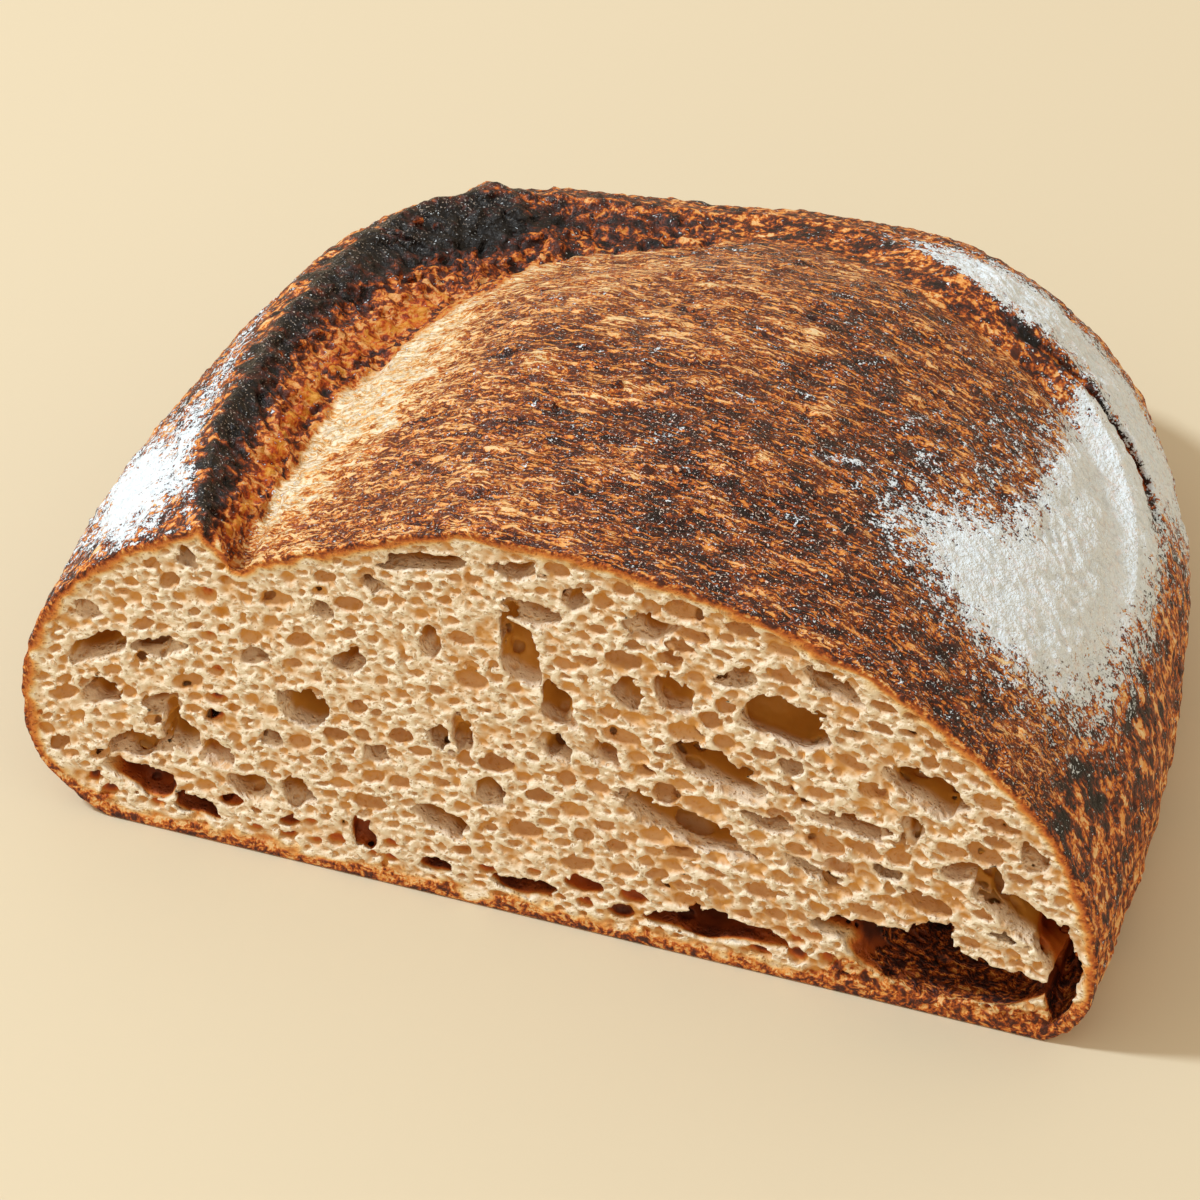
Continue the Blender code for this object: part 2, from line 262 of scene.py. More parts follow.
# %% [markdown]
# ## Smooth unevenness on demand
# Strands, tears and pores all need noise at many places. A block of random numbers is kept only at waves
# about eight cells long, which makes an even, cloudy pattern that repeats without a seam. Reading it with
# stretched coordinates gives long strands instead of round clouds.

# %% A block of cloudy noise
TILE, WAVE = 128, 8


def cloudy_block(seed):
    random = np.random.default_rng(seed).standard_normal((TILE,) * 3)
    turns = np.fft.fftfreq(TILE)
    last = np.fft.rfftfreq(TILE)
    pitch = np.sqrt(turns[:, None, None] ** 2 + turns[None, :, None] ** 2 + last[None, None, :] ** 2)
    waves = np.fft.rfftn(random) * np.exp(-(((pitch * WAVE - 0.85) / 0.42) ** 2))
    block = np.fft.irfftn(waves, s=random.shape)
    return (block / block.std()).astype(np.float32).ravel()


BLOCKS = [cloudy_block(seed) for seed in (5, 11)]


def ripple(points, length, block=0, shift=0.0):
    """Unevenness with a spread of 1 whose waves are `length` millimetres long: one number, or one per axis."""
    where = points / np.asarray(length, dtype=np.float32) * np.float32(WAVE) + np.float32(shift * 13.7)
    low = np.floor(where)
    part = (where - low).astype(np.float32)
    low = low.astype(np.int32)
    total = np.zeros(points.shape[:-1], dtype=np.float32)
    for corner in range(8):
        step = ((corner >> 2) & 1, (corner >> 1) & 1, corner & 1)
        i, j, k = ((low[..., axis] + step[axis]) & (TILE - 1) for axis in range(3))
        weight = 1.0
        for axis in range(3):
            weight = weight * (part[..., axis] if step[axis] else 1 - part[..., axis])
        total += weight * BLOCKS[block][(i * TILE + j) * TILE + k]
    return total


print("noise blocks", len(BLOCKS), "of", TILE, "cells a side")

# %% [markdown]
# ## Finding a place on the loaf
# To know whether a point of the lattice belongs to the ear, its wall or the bloom, the plan above is
# turned round: from across and behind back to station and level.

# %% Turn the plan round


def place(points):
    """Station and level of points, with the levels of the lip and the groove at that station."""
    x, behind = points[..., 0], np.maximum(points[..., 1], 0)
    c, s = -x / HALF_WIDTH, (behind - STRAIGHT) / ROUND_DEPTH
    around = np.degrees(np.arctan2(np.maximum(s, 1e-6), c))
    straight = behind < STRAIGHT
    ahead = 20 * (1 - behind / STRAIGHT)
    found = np.where(straight, np.where(x < 0, -ahead, 180 + ahead), around)
    swell = at_station(SWELL, found) / 100
    round_level = (np.abs(c) ** PLAN_POWER + np.abs(np.maximum(s, 0)) ** PLAN_POWER) ** (1 / PLAN_POWER)
    found_level = np.where(straight, np.abs(c), round_level) / swell
    lips, grooves = at_station(LIP_LEVEL, found) / 100, at_station(GROOVE_LEVEL, found) / 100
    return found, found_level, lips, grooves


def patch(points, across, behind, half_long, half_wide, turn=0.0):
    """1 in the middle of an oval patch seen from above, fading to 0 at about twice its size."""
    c, s = math.cos(math.radians(turn)), math.sin(math.radians(turn))
    dx, db = points[..., 0] - across, points[..., 1] - behind
    return hump(np.hypot((c * dx + s * db) / half_long, (c * db - s * dx) / half_wide))


def near_path(points, path):
    """Distance in plan to a row of (across, behind) points, and how far along it, from 0 to 1."""
    best = np.full(points.shape[:-1], 1e3, dtype=np.float32)
    along = np.zeros_like(best)
    for index, (start, end) in enumerate(zip(path[:-1], path[1:])):
        run = np.subtract(end, start)
        dx, db = points[..., 0] - start[0], points[..., 1] - start[1]
        part = np.clip((dx * run[0] + db * run[1]) / (run @ run), 0, 1)
        away = np.hypot(dx - part * run[0], db - part * run[1])
        closer = away < best
        best = np.where(closer, away, best)
        along = np.where(closer, (index + part) / (len(path) - 1), along)
    return best, along


class Zones:
    """Which part of the crust each point belongs to, as shares from 0 to 1."""

    def __init__(self, points):
        self.station, self.level, self.lip, self.groove = place(points)
        self.above = smooth((points[:, 2] - side_level(points[:, 0]) + 6) / 10)
        self.ear = np.interp(self.station, (-20, 0, 50, 72, 92), (1, 1, 1, 0.6, 0)) * self.above
        self.bloom = smooth((self.groove - self.level) / 0.03) * self.above
        self.flank = np.maximum(smooth((self.level - self.lip) / 0.04), 1 - self.above)
        self.across = (self.lip - self.level) / (self.lip - self.groove)


print("the groove at the cut is level", place(np.array([[-56.0, 0, 70]]))[3].round(2))

# %% [markdown]
# ## Relief of the crust
# Only lattice points close to the skin need relief. The bloom gets low strands that run from side to side,
# where wet dough was stretched. The wall of the ear is torn more coarsely, its crest is lumpy and burnt,
# and the flanks are pimpled with upright streaks. A crack parts the crown from the right shoulder.

# %% Push the skin in and out
CRACK = ((45, 99), (51, 96.5), (56, 96), (62, 95.5), (69, 94), (75, 89), (79, 82), (82, 74))
# across, behind, half length, turn
SLITS = (
    (-22, 45, 6.5, 8), (-10, 48, 5.0, -6), (-27, 56, 4.0, 10), (-31, 30, 4, 2),
    (2, 66, 5, -10), (-14, 28, 4, 4), (22, 72, 5, -14), (-24, 70, 4, 6),
)
# across, behind, size
BLISTERS = (
    (-9, 33, 2.2), (13, 94, 3.0), (36, 100, 3.4), (20, 97, 2.2), (-2, 40, 1.8), (8, 52, 2.0), (28, 47, 2.6),
)


def crust_relief(points):
    """How far the real crust stands out from the plain skin, in millimetres."""
    zones = Zones(points)
    wall = smooth((zones.across + 0.1) / 0.2) * (1 - smooth((zones.across - 1.05) / 0.3)) * zones.ear
    crest = hump((zones.across + 0.15) / 0.42) * zones.ear
    drift = np.stack([ripple(points, 16, 1, 1), 0.9 * ripple(points, 14, 1, 2), ripple(points, 15, 1, 3)], axis=-1)
    sway = points + 1.4 * drift
    strands = 0.6 * ripple(sway, (12, 2.4, 4.5)) + 0.8 * ripple(sway, (8, 1.5, 2.8), 1)
    grain = ripple(points, 2.2, 0, 4)
    relief = zones.bloom * (0.13 * strands + 0.17 * ripple(points, (9, 6, 7), 1, 5) + 0.07 * grain)
    relief += zones.flank * (0.1 * grain + 0.1 * ripple(sway, (2.6, 2.6, 8), 1, 6) + 0.14 * ripple(points, 9, 1, 7))
    relief += wall * (0.42 * ripple(sway, (5.0, 2.8, 4.0), 0, 8) + 0.26 * ripple(points, (2.6, 1.4, 2.2), 1, 9))
    relief += crest * (0.24 * ripple(points, (6, 9, 6), 0, 10) + 0.09 * ripple(points, 2.0, 1, 11))
    crack_away, crack_along = near_path(points, CRACK)
    open_here = np.sin(np.pi * np.clip(crack_along, 0.03, 0.97)) * zones.above
    relief -= 2.4 * hump((crack_away + 0.15 * grain) / 1.15) * open_here
    for slit_x, slit_b, slit_long, slit_turn in SLITS:
        relief -= 0.8 * patch(points, slit_x, slit_b, slit_long * 0.6, 0.5, slit_turn) * zones.bloom
    for spot_x, spot_b, spot_size in BLISTERS:
        relief += (0.4 + 0.3 * grain) * patch(points, spot_x, spot_b, spot_size, spot_size * 0.7) * zones.bloom
    return np.clip(relief * smooth((points[:, 2] - 0.3) / 2.5), -2.2, 2.2).astype(np.float32)


for part in (front, rear):
    close = np.flatnonzero(np.abs(part.skin.ravel()) < 2.3)
    part.field.ravel()[close] -= crust_relief(part.points(close))
    print("points given relief", len(close), "seconds", round(time.perf_counter() - began, 1))

# %% [markdown]
# ## Bubbles
# Each bubble is an ellipsoid that is subtracted. The large ones are set one by one where they show on the
# cut. The small ones fill what is left, from large to small: a map of the gap to the next bubble says where
# one still fits. They lean with the dough, which rose up the left side and sagged to the right.

# %% The bubbles that can be told apart
# across, height, half length, half height, lean in degrees, half depth
BUBBLES = (
    (66.5, 11.8, 15.2, 6.9, -4, 22), (64.5, 17.2, 4.6, 3.8, 10, 12), (68.5, 34.3, 3.8, 1.9, 15, 5),
    (73.3, 32.3, 2.3, 4.2, -8, 8), (79.0, 27.6, 6.6, 4.3, -32, 15), (84.6, 21.5, 3.7, 6.8, 12, 14),
    (86.2, 13.0, 2.4, 7.4, -3, 12), (28, 7.8, 9.2, 3.0, 4, 12), (-4, 6.8, 4.8, 2.2, 5, 7),
    (-62, 7.4, 4.2, 2.1, -12, 8), (-72, 11, 5.2, 3.2, -18, 9), (-20, 7, 2.6, 1.7, 10, 5),
    (48, 14.5, 3.2, 2.1, -12, 6), (24, 29, 10, 3.2, -13, 12), (28, 44, 8, 3.2, -22, 12),
    (38, 58, 8, 4.4, 1, 12), (46, 69, 5.8, 2.0, -29, 7), (62.5, 50.5, 5.8, 3.6, -14, 12),
    (50, 39, 6.2, 2.0, -3, 6), (31, 66, 3.4, 2.0, 17, 5), (-5, 61, 3.3, 6.0, 10, 9),
    (-3, 70, 5.0, 2.1, -4, 6), (1, 51, 3.0, 3.9, 12, 7), (16, 72, 3.3, 2.4, 10, 6),
    (20, 59, 2.7, 3.6, 25, 6), (13, 57, 2.6, 3.0, 10, 5), (-21, 75.5, 7.4, 1.9, 14, 7),
    (-6, 78, 3.6, 1.8, 8, 5), (-42, 37, 3.9, 4.4, 15, 12), (-19, 37, 2.3, 2.6, 10, 5),
    (-19, 18, 4.8, 2.4, -33, 7), (-10, 27, 2.6, 3.0, 10, 6), (-78, 40, 6.0, 2.8, 38, 8),
    (-67, 43, 4.7, 2.0, 34, 6), (-64, 24, 3.2, 3.6, 20, 8), (-72, 18.5, 4.6, 2.6, 18, 7),
    (-52, 15, 3.4, 3.0, 12, 6), (-44, 16.5, 2.8, 3.0, 15, 6), (-78, 29, 3.2, 2.6, 40, 6),
    (-58, 21, 2.6, 3.1, 10, 5), (-34, 50, 2.5, 2.7, 10, 5), (-20, 58, 1.6, 3.1, 0, 4), (-15, 39, 1.6, 3.9, 5, 4),
    (-33, 10, 2.2, 3.1, 10, 4), (4, 75, 2.4, 2.2, 0, 4), (1, 41, 2.3, 3, 10, 5), (9, 42, 2.3, 2.7, 20, 4),
    (80, 41, 2.1, 3.1, 45, 5), (-79, 48, 2.4, 1.9, 40, 4), (-67, 30, 3.7, 2.1, 30, 5), (-61, 65, 1.8, 2, 0, 4),
    (60, 41, 1.5, 2.9, 0, 4), (49, 15, 2.9, 2.2, -10, 4), (40, 49, 2.2, 1.7, -15, 4), (14, 34, 3.0, 1.6, -8, 5),
    (36, 35, 4.2, 1.5, -14, 5), (44, 27, 4.4, 1.4, -12, 5), (56, 30, 3.4, 1.5, -15, 5), (-30, 30, 2.2, 1.8, 10, 4),
    (-50, 46, 2.6, 1.7, 25, 4), (-48, 28, 2.0, 2.2, 20, 4), (-29, 68, 2.4, 1.5, 15, 4), (-38, 60, 2.0, 1.6, 10, 4),
)
BUBBLE_SINK, BUBBLE_LUMPS, BUBBLE_GROWTH = 0.22, 0.17, 1.1
holes = np.full(front.shape, 3.0, dtype=np.float32)


def carve(centre, radii, lean, lumps=0.0, seed=0):
    """Opens an ellipsoid in the holes; its distances are near enough right close to its wall."""
    c, s = math.cos(math.radians(lean)), math.sin(math.radians(lean))
    wide = max(radii[0], radii[2])
    found = front.window(centre, np.array((wide, radii[1], wide)) * (1 + 2 * lumps) + 1.2)
    if found is None:
        return
    where, x, b, z = found
    along, up = c * x + s * z, c * z - s * x
    first = np.sqrt((along / radii[0]) ** 2 + (b / radii[1]) ** 2 + (up / radii[2]) ** 2) + 1e-4
    second = np.sqrt((along / radii[0] ** 2) ** 2 + (b / radii[1] ** 2) ** 2 + (up / radii[2] ** 2) ** 2) + 1e-4
    stretch = 1.0
    if lumps:
        spots = np.stack(np.broadcast_arrays(along, b, up), axis=-1)
        stretch = 1 + lumps * ripple(spots, 1.25 * np.array(radii), 0, seed)
    spot = holes[where]
    np.minimum(spot, (first - stretch) * first / second, out=spot)


for index, (x, z, half_long, half_high, lean, half_deep) in enumerate(BUBBLES):
    radii = (BUBBLE_GROWTH * half_long, half_deep, BUBBLE_GROWTH * half_high)
    carve((x, BUBBLE_SINK * half_deep, z), radii, lean, BUBBLE_LUMPS, index)
large_holes = holes.copy()
print("large bubbles", len(BUBBLES), "seconds", round(time.perf_counter() - began, 1))

# %% Small bubbles wherever one still fits
random = np.random.default_rng(42)
cut_row = -front.low[1]
across_axis, up_axis = front.axis(0), front.axis(2)
crust_thick = np.where(up_axis[None, :] < 12, 3.2, 1.9)
gap = np.minimum(holes[:, cut_row, :], -front.skin[:, cut_row, :] - crust_thick)
LEAN_AT = ((-88, -60, -30, 0, 40, 88), (40, 22, 12, 4, -14, -26))
LONG_AT = ((-88, -40, 0, 30, 88), (1.6, 1.3, 1.25, 1.8, 1.9))
# half height, tries, least wall to the next one as a share of it, how far left they may lie
SIZES = (
    (1.9, 90, 1.2, 8), (2.1, 50, 1.3, -90), (1.65, 130, 1.3, -90), (1.35, 240, 1.15, 0), (1.25, 380, 1.25, -90),
    (0.95, 1200, 1.2, -90), (0.72, 6000, 1.12, -90), (0.54, 16000, 1.0, -90),
)
kept = 0
for size, tries, room, leftmost in SIZES:
    spots = random.uniform((leftmost, 2, 0.8, 0.8, 0.8), (90, 84, 1.25, 1.3, 1.25), (tries, 5))
    for x, z, *wobble in spots:
        i, k = int(round(x / front.voxel)) - front.low[0], int(round(z / front.voxel)) - front.low[2]
        half_high = size * wobble[0]
        if gap[i, k] < half_high * room:
            continue
        lean = np.interp(x, *LEAN_AT) + 50 * (wobble[2] - 1)
        half_long = half_high * np.interp(x, *LONG_AT) * wobble[1]
        c, s = math.cos(math.radians(lean)), math.sin(math.radians(lean))
        reach = 0.75 * half_long / front.voxel
        ends = min(gap[int(i + sign * reach * c), int(k + sign * reach * s)] for sign in (-1, 1))
        if ends < half_high * 0.5:
            half_long = half_high
        half_deep = 0.5 * (half_long + half_high) * wobble[2]
        carve((x, random.uniform(-0.2, 0.5) * half_deep, z), (half_long, half_deep, half_high), lean)
        span = int(half_long / front.voxel) + 4
        cols, rows = slice(i - span, i + span + 1), slice(max(k - span, 0), k + span + 1)
        dx, dz = across_axis[cols, None] - x, up_axis[None, rows] - z
        away = np.hypot((c * dx + s * dz) / half_long, (c * dz - s * dx) / half_high)
        gap[cols, rows] = np.minimum(gap[cols, rows], (away - 1) * half_high)
        kept += 1
print("small bubbles on the cut", kept, "seconds", round(time.perf_counter() - began, 1))

# %% [markdown]
# Behind the cut the crumb goes on: through the mouth of a large bubble its back wall shows smaller ones.
# Their places are left to chance, and those that never open into the air are dropped with the mesh.

# %% Bubbles further in
# how many, from and to how far behind the cut, radius
FURTHER = ((900, 2.2, 7, 0.9), (500, 6, 14, 1.2), (130, 5, 20, 1.9))
for count, low_b, high_b, size in FURTHER:
    places = random.uniform((-88, low_b, 4), (88, high_b, 82), (count, 3))
    for centre, wobble in zip(places, random.uniform(0.7, 1.3, count)):
        radius = size * wobble
        longer = radius * np.interp(centre[0], *LONG_AT)
        carve(centre, (longer, radius, radius), float(np.interp(centre[0], *LEAN_AT)))
print("seconds", round(time.perf_counter() - began, 1))

# %% [markdown]
# ## Tearing the crumb
# A bread knife drags, so the mouths of the bubbles are ragged while their inner walls stay smooth. The
# walls get unevenness that dies away with depth, and the cut itself is rough by a fraction of a millimetre.

# %% Rough walls, a rough cut, and a crust that stays whole
rim = np.flatnonzero(np.abs(holes.ravel()) < 1.1)
rim_points = front.points(rim)
ragged = 0.03 + 0.24 * np.exp(-np.clip(rim_points[:, 1], 0, None) / 0.8)
holes.ravel()[rim] += ragged * (ripple(rim_points, 1.7, 0, 3) + 0.7 * ripple(rim_points, 1.0, 1, 4))
kept_crust = np.where(up_axis < 9, 2.6, 1.7).astype(np.float32)
np.maximum(holes, kept_crust + front.skin, out=holes)
np.maximum(front.field, -holes, out=front.field)
b_axis = front.axis(1)
near_cut = b_axis < 2.2
plane = np.stack(np.broadcast_arrays(across_axis[:, None], np.float32(0), up_axis[None, :]), axis=-1)
rough = 0.15 * ripple(plane, 6, 0, 6) + 0.12 * ripple(plane, 2.2, 1, 7) + 0.08 * ripple(plane, 1.15, 0, 8)
rough *= np.interp(across_axis, (-20, 30), (0.75, 1.25))[:, None]
in_crust = smooth((-front.skin[:, cut_row, :] - 1.2) / 2)
rough = np.clip(0.08 + (0.22 + rough) * in_crust, 0, 1.2).astype(np.float32)
cut = rough[:, None, :] - b_axis[None, near_cut, None]
front.field[:, near_cut, :] = np.maximum(front.field[:, near_cut, :], cut)
print("cut made, seconds", round(time.perf_counter() - began, 1))

# %% [markdown]
# ## Pores in the ear
# The wall under the ear is torn crumb that baked in the open. It gets its own small caves, largest
# in the groove where the crust first came apart.

# %% Caves along the wall
wall_start = len(FOOT) + len(OUTER)
# how many, from and to what share of the way down the wall, radius
CAVES = ((110, 0.3, 1.0, 0.8), (46, 0.7, 1.2, 1.25), (15, 0.85, 1.1, 1.9))
for count, low_share, high_share, size in CAVES:
    places = random.uniform((-18, low_share, 0.75), (86, high_share, 1.25), (count, 3))
    for turn, down, wobble in places:
        column = int(np.argmin(np.abs(station[:, 0] - turn)))
        ring = min(wall_start + int(down * len(WALL)), rings - 1)
        centre = skin[column, ring] + outward[column, ring] * 0.2 * size
        for part in (front, rear):
            found = part.window(centre, size * wobble * 1.4 + 1)
            if found is not None:
                where, x, b, z = found
                spot = part.field[where]
                np.maximum(spot, size * wobble - np.sqrt(x**2 + (b / 1.3) ** 2 + z**2), out=spot)
print("ear done, seconds", round(time.perf_counter() - began, 1))

# %% [markdown]
# ## From the field back to a mesh
# The zero surface of each field becomes a mesh. Bubbles that never reach the air are separate shells inside
# the bread, so they are found by following edges and dropped. The flat underside needs no fine lattice, so its
# inner points are gathered on a coarser one.

# %% Make the surfaces


def shells(faces, count):
    """A number for each point, the same for points that edges connect."""
    a = np.concatenate([faces[:, i] for i in range(4)])
    b = np.concatenate([faces[:, (i + 1) % 4] for i in range(4)])
    label = np.arange(count)
    while True:
        lower = np.minimum(label[a], label[b])
        new = label.copy()
        np.minimum.at(new, a, lower)
        np.minimum.at(new, b, lower)
        for hop in range(3):
            new = np.minimum(new, new[new])
        if (new == label).all():
            return label
        label = new


def surface(part, low_b, high_b):
    """Points and four-sided faces of the zero surface between two distances behind the cut."""
    thin = np.clip(part.field, -2 * part.voxel, 2 * part.voxel)
    grid = openvdb.FloatGrid(2 * part.voxel)
    grid.copyFromArray(thin, ijk=tuple(int(n) for n in part.low))
    grid.transform = part.transform
    verts, faces = grid.convertToQuads(isovalue=0.0)
    faces = faces.astype(np.int64)
    middle = verts[faces, 1].mean(axis=1)
    faces = faces[(middle > low_b) & (middle < high_b)]
    label = shells(faces, len(verts))
    size = np.bincount(label[faces[:, 0]], minlength=len(verts))
    faces = faces[size[label[faces[:, 0]]] > 4000] if part is rear else faces[label[faces[:, 0]] == size.argmax()]
    return verts.astype(np.float32), faces


def thin_base(verts, faces):
    """Joins the inner points of the flat underside on a coarse lattice; returns points, quads and triangles."""
    zones = Zones(verts)
    inner = (verts[:, 2] < 0.3) & (zones.level < 0.84) & (verts[:, 1] > 3)
    cell = np.floor(verts[:, :2] / 2.4).astype(np.int64) + 500
    key = np.where(inner, cell[:, 0] * 2000 + cell[:, 1], -1 - np.arange(len(verts)))
    first_of, joined = np.unique(key, return_index=True, return_inverse=True)[1:]
    verts, faces = verts[first_of], joined[faces]
    same = np.stack([faces[:, i] == faces[:, (i + 1) % 4] for i in range(4)], axis=-1)
    folded = (faces[:, 0] == faces[:, 2]) | (faces[:, 1] == faces[:, 3])
    three = (same.sum(axis=1) == 1) & ~folded
    triangles = np.array([face[~gone] for face, gone in zip(faces[three], same[three])], dtype=np.int64).reshape(-1, 3)
    faces = faces[~same.any(axis=1) & ~folded]
    used = np.unique(np.concatenate([faces.ravel(), triangles.ravel()]))
    renumber = np.zeros(len(verts), dtype=np.int64)
    renumber[used] = np.arange(len(used))
    return verts[used], renumber[faces], renumber[triangles]


meshes = []
for part, low_b, high_b in ((front, -5, SEAM + 0.35), (rear, SEAM, 200)):
    verts, quads, triangles = thin_base(*surface(part, low_b, high_b))
    steps = np.eye(3, dtype=np.float32) * 0.8 * part.voxel
    slope = np.stack([part.read(part.field, verts + s) - part.read(part.field, verts - s) for s in steps], axis=-1)
    slope /= np.linalg.norm(slope, axis=-1, keepdims=True) + 1e-9
    meshes.append((verts, quads, triangles, slope, -part.read(part.skin, verts)))
    print(len(verts), "points,", len(quads), "quads, seconds", round(time.perf_counter() - began, 1))
shift = len(meshes[0][0])
points, slope, under_skin = (np.concatenate([m[i] for m in meshes]) for i in (0, 3, 4))
faces = np.concatenate([meshes[0][1], meshes[1][1] + shift])
triangles = np.concatenate([meshes[0][2], meshes[1][2] + shift])

# %% [markdown]
# ## What each point of the bread looks like
# The finishes need to know more than a shader can see: how deep under the skin a point lies, how far
# into a bubble, how long that part of the crust stood in the heat. These numbers are stored on the
# points, and the shaders add the fine grain. Some of them also carry painted shade, darker deep in bubbles, dips and
# caves.

# %% Crust or crumb
zones = Zones(points)
behind, high_up = points[:, 1], points[:, 2]
on_cut = smooth((1.1 - behind) / 0.5) * smooth((-slope[:, 1] - 0.2) / 0.4)
in_wall = zones.ear * smooth((zones.across + 0.5) / 0.3) * (1 - smooth((zones.across - 1.3) / 0.4))
deep = smooth((under_skin - 1.2) / 0.8)
open_crumb = np.maximum(on_cut, deep * (1 - in_wall * smooth((behind - 1.0) / 2)))
print("share of points on the crumb", round(float((open_crumb > 0.5).mean()), 3))

# %% How long each part baked, with painted shade in dips and caves
cloud = ripple(points, 14, 0, 1)
patchy = ripple(points, (7, 4, 5), 1, 2)
fleck = ripple(points, (3.4, 1.4, 2.2), 0, 3)
raised = np.clip(-under_skin, -1, 1)
from_groove = np.clip((zones.groove - zones.level) * HALF_WIDTH, 0, 200)
# painted shade: the crust is made browner where it dips below the plain skin and lighter where it stands up
baked = 0.49 + 0.05 * cloud + 0.06 * patchy + 0.04 * fleck - 0.25 * raised
# across, behind, half length, half width, turn, more
for x, b, long, wide, turn, more in (
    (30, 17, 30, 24, 0, 0.2), (52, 52, 22, 34, 60, 0.1), (10, 40, 26, 18, 10, 0.05), (45, 70, 26, 20, -20, 0.09),
    (66, 8, 16, 14, 0, 0.12), (20, 100, 30, 14, 0, 0.05), (-20, 12, 18, 12, 0, -0.05), (-22, 80, 28, 22, 0, -0.08),
):
    baked += more * patch(points, x, b, long, wide, turn) * (1 + 0.25 * patchy)
pale_wide = np.interp(zones.station, (-20, -8, 10, 30, 50, 70), (8, 13, 22, 20, 9, 3))
pale = smooth(1.4 - from_groove / pale_wide + 0.2 * patchy + 0.1 * cloud + 0.1 * fleck)
pale *= np.interp(zones.station, (-18, -8, 30, 52, 66), (0.5, 1, 1, 0.7, 0))
baked = (baked - 0.08 * smooth(1.3 - from_groove / 26) * (zones.station < 80)) * (1 - pale) + 0.06 * pale
for slit_x, slit_b, slit_long, slit_turn in SLITS:
    baked += 0.3 * patch(points, slit_x, slit_b, slit_long * 0.7, 0.8, slit_turn)
for spot_x, spot_b, spot_size in BLISTERS:
    baked += 0.3 * patch(points, spot_x, spot_b, spot_size * 0.9, spot_size * 0.6) * smooth((patchy + 0.9) / 1.2)
baked = np.minimum(baked, 0.8 + 0.04 * fleck)
# painted shade: the flanks too are browner in dips and lighter on rises
flank_heat_and_shade = 0.63 + 0.05 * cloud + 0.1 * patchy + 0.06 * fleck - 0.15 * raised
flank_heat_and_shade -= 0.14 * smooth((24 - high_up) / 20) + 0.05 * smooth((zones.station - 120) / 60)
# across, behind, height, reach, more
for x, b, z, reach, more in (
    (80, 3, 50, 9, 0.34), (87, 17, 46, 7, 0.28), (89, 40, 40, 8, 0.24), (88, 60, 47, 7, 0.16), (84, 78, 52, 7, 0.2),
    (72, 1, 58, 6, 0.2),
):
    flank_heat_and_shade += more * hump(np.linalg.norm(points - (x, b, z), axis=-1) / reach) * (1 + 0.35 * patchy)
WALL_HEAT = ((-0.4, 0.05, 0.22, 0.42, 0.62, 0.85, 0.98, 1.06, 1.5), (0.97, 0.95, 0.72, 0.42, 0.25, 0.24, 0.7, 0.14, 0.08))
crest_share = 1 - smooth((zones.across - 0.1) / 0.35)
further = np.interp(zones.station, (-20, -12, 4, 18, 32, 50, 66), (0.12, 0.3, 0.24, 0.08, 0.3, 0.36, 0.1))
# painted shade: the ear wall is browner in dips, lighter on rises, and much darker down in its caves
wall_heat_and_shade = np.interp(zones.across - further + 0.06 * patchy + 0.04 * fleck, *WALL_HEAT) - 0.1 * raised
wall_heat_and_shade = wall_heat_and_shade + 0.05 * fleck + 0.07 * patchy + 0.4 * smooth((under_skin - 0.6) / 1.6)
wall_heat_and_shade = wall_heat_and_shade - 0.3 * crest_share * smooth((zones.station - 50) / 14)
wall_heat_and_shade += 0.38 * (1 - crest_share) * smooth((zones.station - 36) / 16) * smooth((1.3 - zones.across) / 0.3)
crust_heat_and_shade = zones.bloom * baked + (1 - zones.bloom) * flank_heat_and_shade
burnt = zones.ear * smooth((zones.across + 0.42 + 0.12 * patchy) / 0.22) * (1 - smooth((zones.across - further - 1.02) / 0.2))
crust_heat_and_shade = crust_heat_and_shade * (1 - burnt) + wall_heat_and_shade * burnt
crack_away, crack_along = near_path(points, CRACK)
in_crack = hump(crack_away / 1.4) * np.sin(np.pi * np.clip(crack_along, 0.03, 0.97)) * zones.above
# painted shadow: the crack is darkened along its length, as in the shade of its raised flap
crust_heat_and_shade += 0.4 * in_crack
crust_heat_and_shade = np.where(high_up < 0.5, 0.5 + 0.07 * patchy + 0.05 * cloud, crust_heat_and_shade)
print("baked from", round(float(crust_heat_and_shade.min()), 2), "to", round(float(crust_heat_and_shade.max()), 2))

# %% The rim that shows on the cut, painted shade in its caves and pores, and the crumb inside
rim_deep = np.interp(high_up, (0, 6, 14, 40), (4.2, 4.0, 2.8, 2.7)) * (1 + 0.18 * patchy + 0.12 * fleck)
rim_deep *= 1 + 1.5 * smooth((points[:, 0] - 42) / 8) * smooth((12 - high_up) / 5)
rim_share = np.clip(under_skin / rim_deep, 0, 1)
rim_heat_and_shade = np.interp(rim_share, (0, 0.2, 0.45, 0.75, 1), (0.5, 0.44, 0.34, 0.14, 0.0))
rim_heat_and_shade = rim_heat_and_shade + np.where(high_up < 6, (0.14 + 0.05 * fleck) * (1 - rim_share), 0)
near_edge = smooth(1 - under_skin / 0.5)
rim_heat_and_shade = rim_heat_and_shade * (1 - near_edge) + np.minimum(crust_heat_and_shade, 0.6) * near_edge
pocket = smooth((points[:, 0] - 80) / 3)
cave = smooth((points[:, 0] - 41) / 6) * smooth((24 - high_up) / 6) * smooth((behind - 1.5) / 4)
floor_crust = smooth((13 - high_up) / 4) * smooth((behind - 0.7) / 1.3) * smooth((9 - under_skin) / 4)
turned_up = smooth((slope[:, 2] + 0.1) / 0.9)
